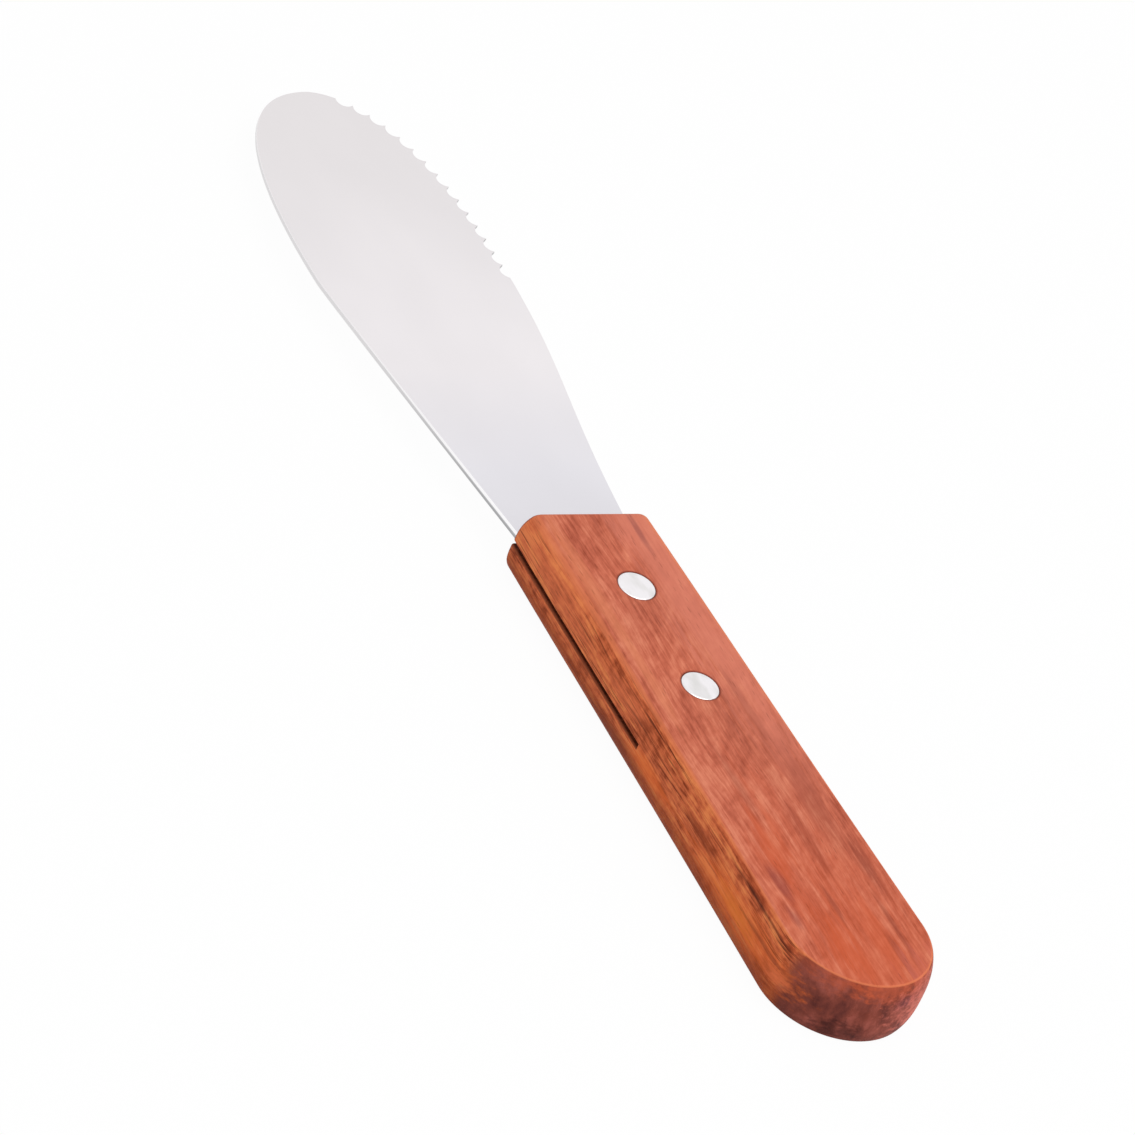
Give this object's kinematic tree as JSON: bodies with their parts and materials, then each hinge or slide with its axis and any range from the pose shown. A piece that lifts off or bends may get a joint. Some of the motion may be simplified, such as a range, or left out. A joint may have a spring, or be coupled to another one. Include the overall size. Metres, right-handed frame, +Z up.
{
  "type": "butter knife",
  "caption": "Round-nosed butter spreader: thin steel blade with one scalloped edge, riveted into a kerfed one-piece wooden handle.",
  "frame": {"origin": "middle of the part's outline, seen from above, in the plane that the handle's lower flat face rests on", "axes": "+X from the blade's tip towards the butt, +Y towards the scalloped edge, +Z up, out of the handle's flat face"},
  "size_m": [0.1922, 0.0326, 0.0106],
  "materials": {
    "blade_steel": "satin rolled stainless sheet",
    "handle_wood": "oiled reddish hardwood",
    "rivet_metal": "satin, ground flush"
  },
  "bodies": {
    "root": {"blade": "blade_steel", "handle": "handle_wood", "front_rivet_sleeve": "rivet_metal", "front_rivet_pin": "rivet_metal", "rear_rivet_sleeve": "rivet_metal", "rear_rivet_pin": "rivet_metal"}
  },
  "joints": []
}
